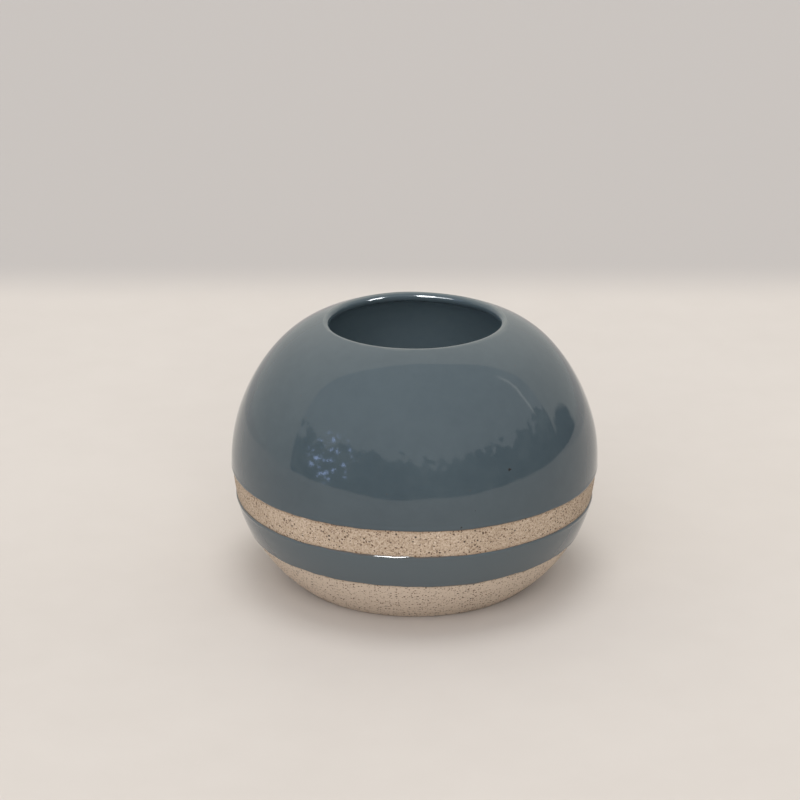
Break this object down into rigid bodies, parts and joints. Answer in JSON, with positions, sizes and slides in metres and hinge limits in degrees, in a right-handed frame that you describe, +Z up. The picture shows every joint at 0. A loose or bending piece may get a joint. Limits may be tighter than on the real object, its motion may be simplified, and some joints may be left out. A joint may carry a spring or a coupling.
{
  "type": "bud vase",
  "caption": "Squat round stoneware vase with a small round mouth, glossy blue-grey glaze over the shoulder and inside, and bare speckled clay bands near the foot.",
  "frame": {"origin": "centre of the foot, on the surface that the vase stands on", "axes": "+Z up along the vase's axis of revolution; X and Y lie in the table, and the vase looks the same from every side"},
  "size_m": [0.11, 0.11, 0.0798],
  "materials": {
    "bare_clay": "unglazed sandy stoneware with dark iron specks, matt",
    "outer_glaze": "blue-grey glaze, very glossy, with a few dark pinholes",
    "liner_glaze": "the same blue-grey gloss glaze on the inside and over the lip"
  },
  "bodies": {
    "root": {"clay_body": "bare_clay", "shoulder_glaze": "outer_glaze", "liner_glaze": "liner_glaze", "stripe_glaze": "outer_glaze"}
  },
  "joints": []
}
